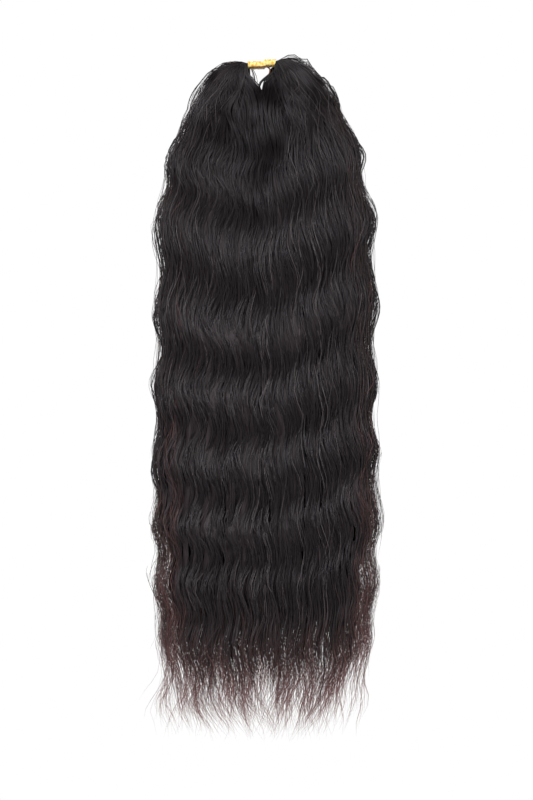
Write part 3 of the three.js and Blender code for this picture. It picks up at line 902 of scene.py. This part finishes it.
def next_ring(bm, ring, points):
    """Extrude a ring of vertices and put the new ring at the given points."""
    edges = [bm.edges.get((a, b)) for a, b in zip(ring, ring[1:] + ring[:1])]
    made = bmesh.ops.extrude_edge_only(bm, edges=edges)["geom"]
    fresh = {part for part in made if isinstance(part, bmesh.types.BMVert)}
    after = [next(e.other_vert(v) for e in v.link_edges if e.other_vert(v) in fresh) for v in ring]
    for vert, point in zip(after, points):
        vert.co = Vector(point) * MM
    return after


def closed_mesh(name, rings):
    """A smooth closed mesh through rings of points, with its faces outward."""
    bm = bmesh.new()
    across = bm.verts.layers.float.new("across")
    along = bm.verts.layers.float.new("along")
    ring = bmesh.ops.create_circle(bm, cap_ends=True, segments=len(rings[0]), radius=MM)["verts"]
    for vert, point in zip(ring, rings[0]):
        vert.co = Vector(point) * MM
    for station, points in enumerate(rings):
        if station > 0:
            ring = next_ring(bm, ring, points)
        for i, vert in enumerate(ring):
            vert[across] = SECTION_ROUND * i / len(ring)
            vert[along] = STREAK_STRETCH * points[i][2]
    # The last ring is shut from one half of it to the other
    half = len(ring) // 2
    pairs = [*zip(ring[: half - 1], ring[1:half]), *zip(ring[half:-1], ring[half + 1:])]
    bmesh.ops.bridge_loops(bm, edges=[bm.edges.get(pair) for pair in pairs])
    bmesh.ops.recalc_face_normals(bm, faces=bm.faces)
    if bm.calc_volume(signed=True) < 0:
        bmesh.ops.reverse_faces(bm, faces=bm.faces)
    for face in bm.faces:
        face.smooth = True
    mesh = bpy.data.meshes.new(name)
    bm.to_mesh(mesh)
    bm.free()
    return mesh


def core_rings(fall):
    """Rings of the core of one fall, from inside the tie to its closed end."""
    outer = int(CORE_SIDES * OUTER_SHARE)
    hair = {name: np.zeros(outer) for name in CORE_STILL}
    hair.update({name: np.full(outer, value, float) for name, value in CORE_VALUES.items()})
    hair["fall"] = np.full(outer, fall)
    hair["turn"] = np.linspace(0, OUTER_SHARE, outer)
    set_roots(hair)
    column = columns(hair)
    end = CORE_DROP - CORE_EDGE_RISE * smoothstep(np.abs(column["root_u"]), *CORE_EDGE)
    points = CORE_RAGGED * rng.normal(0, 1, (outer // 2, 1))
    end = end + np.concatenate([points, points[::-1]])
    share = np.linspace(0, 1, CORE_HANG_STATIONS)[None, :] ** CORE_STATION_CROWDING
    drop = lerp(column["turn_drop"], end, share)
    hanging = hanging_points(column, drop)
    hanging[:, :, 1] *= lerp(1, CORE_END_DEPTH, smoothstep(drop, CORE_DROP - CORE_THINNING, CORE_DROP))
    paths = np.concatenate([arch_paths(column), hanging], axis=1)
    return list(np.swapaxes(paths, 0, 1))


for fall, fall_name in FALL_NAMES:
    name = f"hair_core_{fall_name}"
    add_piece(name, closed_mesh(name, core_rings(fall)), core_finish, "hair_hank")


# Wound elastic tie

TIE_LENGTH = 21.4
TIE_GAP = 0.3  # between the strap and the bundle
TIE_HALF_HEIGHT = 1.75  # half height of what the strap is wound round
TIE_STEP = 2.3  # how far right of the middle the turns step up
STRAP_WIDTH = 1.9
TIE_OVERLAP = 0.9  # by how far both parts pass the step
STRAP_THICKNESS = 0.78
STRAP_WANDER = 0.16  # how far its turns stray sideways
STRAP_UNEVEN = (0.1, 0.08)  # how far it stands off in a slow and in a quick wave
TURN_PITCH = 1.15
TURN_STATIONS = 40
STRAP_PROFILE_POINTS = 10
STRAP_ROUNDNESS = (0.6, 0.8)  # of its own section, across and through; 1 is an ellipse, less is squarer
TIE_ROUNDNESS = 0.72  # of the whole winding's section
MOTTLE_SCALE = 520


def squared_off(wave, roundness):
    """A sine or cosine that is made squarer."""
    return np.sign(wave) * np.abs(wave) ** roundness


def strap_rings(first_x, last_x, lift):
    """Rings of a flat elastic strap that is wound round the bundle, a little unevenly."""
    turns = abs(last_x - first_x) / TURN_PITCH
    count = int(turns * TURN_STATIONS) + 1
    share = np.linspace(0, 1, count)
    angle = 2 * np.pi * turns * share
    centre_x = lerp(first_x, last_x, share) + STRAP_WANDER * np.sin(1.7 * angle)
    uneven = STRAP_UNEVEN[0] * np.sin(0.37 * angle) + STRAP_UNEVEN[1] * np.sin(2.3 * angle)
    profile = np.linspace(0, 2 * np.pi, STRAP_PROFILE_POINTS, endpoint=False)
    wide = squared_off(np.cos(profile), STRAP_ROUNDNESS[0]) * STRAP_WIDTH / 2
    thick = squared_off(np.sin(profile), STRAP_ROUNDNESS[1]) * STRAP_THICKNESS / 2
    out = TIE_GAP + STRAP_THICKNESS / 2 + uneven[:, None] + thick[None, :]
    x = centre_x[:, None] + wide[None, :]
    y = -(BUNDLE_HALF_DEPTH + out) * squared_off(np.sin(angle), TIE_ROUNDNESS)[:, None]
    z = lift + (TIE_HALF_HEIGHT + out) * squared_off(np.cos(angle), TIE_ROUNDNESS)[:, None]
    return list(np.stack([x, y, z], axis=-1))


def tie_material(name, low, high, roughness):
    """Elastic, finely mottled between two colours."""
    material, nodes, links, shader = material_nodes(name, roughness)
    place = nodes.new("ShaderNodeTexCoord").outputs["Object"]
    _, shades = mottled(nodes, links, place, MOTTLE_SCALE, low=(0.36, low), high=(0.58, high))
    links.new(shades, shader.inputs["Base Color"])
    return material


# The strap's end runs along the underside and hangs down at the right of the gap
LOOSE_END = table("x y z radius", [
    (-9.0, -4.5, -2.9, 0.35),
    (-4.5, -4.9, -2.95, 0.5),
    (0.0, -5.0, -2.8, 0.55),
    (3.0, -4.9, -2.5, 0.62),
    (5.2, -4.7, -3.4, 0.62),
    (6.3, -4.2, -4.9, 0.5),
    (6.0, -3.7, -6.8, 0.42),
    (5.4, -3.4, -8.6, 0.3),
])
LOOSE_END_SIDES = 10


def loose_end_rings():
    """Round rings along the strap's end."""
    middle = np.stack([LOOSE_END[axis] for axis in "xyz"], axis=-1)
    along = np.gradient(middle, axis=0)
    sideways = np.cross(along, (0.0, 1.0, 0.0))
    sideways /= np.linalg.norm(sideways, axis=1, keepdims=True)
    facing = np.cross(along, sideways)
    facing /= np.linalg.norm(facing, axis=1, keepdims=True)
    angle = np.linspace(0, 2 * np.pi, LOOSE_END_SIDES, endpoint=False)[None, :, None]
    ring = np.cos(angle) * sideways[:, None, :] + np.sin(angle) * facing[:, None, :]
    return list(middle[:, None, :] + LOOSE_END["radius"][:, None, None] * ring)


elastic_finish = tie_material(
    "elastic_yellow", low=(0.88, 0.42, 0.015), high=(1.0, 0.92, 0.36), roughness=0.32)
# Painted shade: the elastic's end is coloured dark brown, as the yellow strap in shade under the tie
end_painted_shade = tie_material("elastic_end", low=(0.02, 0.007, 0.004), high=(0.28, 0.1, 0.02), roughness=0.5)

half_winding = (TIE_LENGTH - STRAP_WIDTH) / 2
left_end = TIE_STEP - STRAP_WIDTH / 2 + TIE_OVERLAP
right_end = TIE_STEP + STRAP_WIDTH / 2 - TIE_OVERLAP
TIE_PIECES = (
    ("tie_left_turns", strap_rings(-half_winding, left_end, FALLS["lift"][LEFT]), elastic_finish),
    ("tie_right_turns", strap_rings(half_winding, right_end, FALLS["lift"][RIGHT]), elastic_finish),
    ("tie_loose_end", loose_end_rings(), end_painted_shade),
)
for name, rings, finish in TIE_PIECES:
    add_piece(name, closed_mesh(name, rings), finish, "elastic_tie")


# Studio: pale floor, white surroundings, soft light and the camera

FLOOR_Z = -0.62
FLOOR_RADIUS = 0.34

bm = bmesh.new()
bmesh.ops.create_circle(bm, cap_ends=True, segments=96, radius=FLOOR_RADIUS)
bmesh.ops.translate(bm, verts=bm.verts, vec=(HANK_OFFSET * MM, 0, FLOOR_Z))
floor_mesh = bpy.data.meshes.new("floor")
bm.to_mesh(floor_mesh)
bm.free()
floor = bpy.data.objects.new("floor", floor_mesh)
bpy.context.scene.collection.objects.link(floor)
floor_finish, _, _, floor_shader = material_nodes("pale_floor", 0.8)
floor_shader.inputs["Base Color"].default_value = (0.85, 0.85, 0.85, 1)
floor_mesh.materials.append(floor_finish)

world = bpy.data.worlds.new("white_studio")
bpy.context.scene.world = world
world.use_nodes = True
nodes, links = world.node_tree.nodes, world.node_tree.links
surroundings = nodes["Background"]
surroundings.inputs["Color"].default_value = (1, 0.95, 0.98, 1)
surroundings.inputs["Strength"].default_value = 0.58
backdrop = nodes.new("ShaderNodeBackground")
backdrop.inputs["Color"].default_value = (1, 1, 1, 1)
ray = nodes.new("ShaderNodeLightPath")
seen = nodes.new("ShaderNodeMixShader")
links.new(ray.outputs["Is Camera Ray"], seen.inputs["Fac"])
links.new(surroundings.outputs["Background"], seen.inputs[1])
links.new(backdrop.outputs["Background"], seen.inputs[2])
links.new(seen.outputs["Shader"], nodes["World Output"].inputs["Surface"])


LIGHT_SIZE = 0.6
LIGHT_COLOUR = (0.98, 0.95, 1)


def soft_light(name, place, target, spread, power):
    """A round soft light with a given spread in degrees, turned to its target."""
    data = bpy.data.lights.new(name, "AREA")
    data.shape = "DISK"
    data.size = LIGHT_SIZE
    data.energy = power
    data.spread = math.radians(spread)
    data.color = LIGHT_COLOUR
    light = bpy.data.objects.new(name, data)
    light.location = place
    light.rotation_euler = (Vector(target) - Vector(place)).to_track_quat("-Z", "Y").to_euler()
    bpy.context.scene.collection.objects.link(light)


soft_light("key_left", place=(-0.9, -1.5, 0.75), target=(0, 0, -0.4), spread=40, power=1.72)
soft_light("key_right", place=(1.0, -1.45, 0.65), target=(0, 0, -0.4), spread=40, power=1.1)
soft_light("back_left", place=(-0.9, 1.5, 0.75), target=(0, 0, -0.3), spread=60, power=2)
soft_light("back_right", place=(0.9, 1.5, 0.75), target=(0, 0, -0.3), spread=60, power=3)

bpy.context.scene.view_settings.view_transform = "Standard"

CAMERA_PLACE = (0.0036, -1.667, -0.252)
camera_data = bpy.data.cameras.new("camera")
camera_data.lens = 100
camera_data.sensor_width = 36
camera = bpy.data.objects.new("camera", camera_data)
camera.location = CAMERA_PLACE
camera.rotation_euler = (math.radians(90), 0, 0)
bpy.context.scene.collection.objects.link(camera)
bpy.context.scene.camera = camera
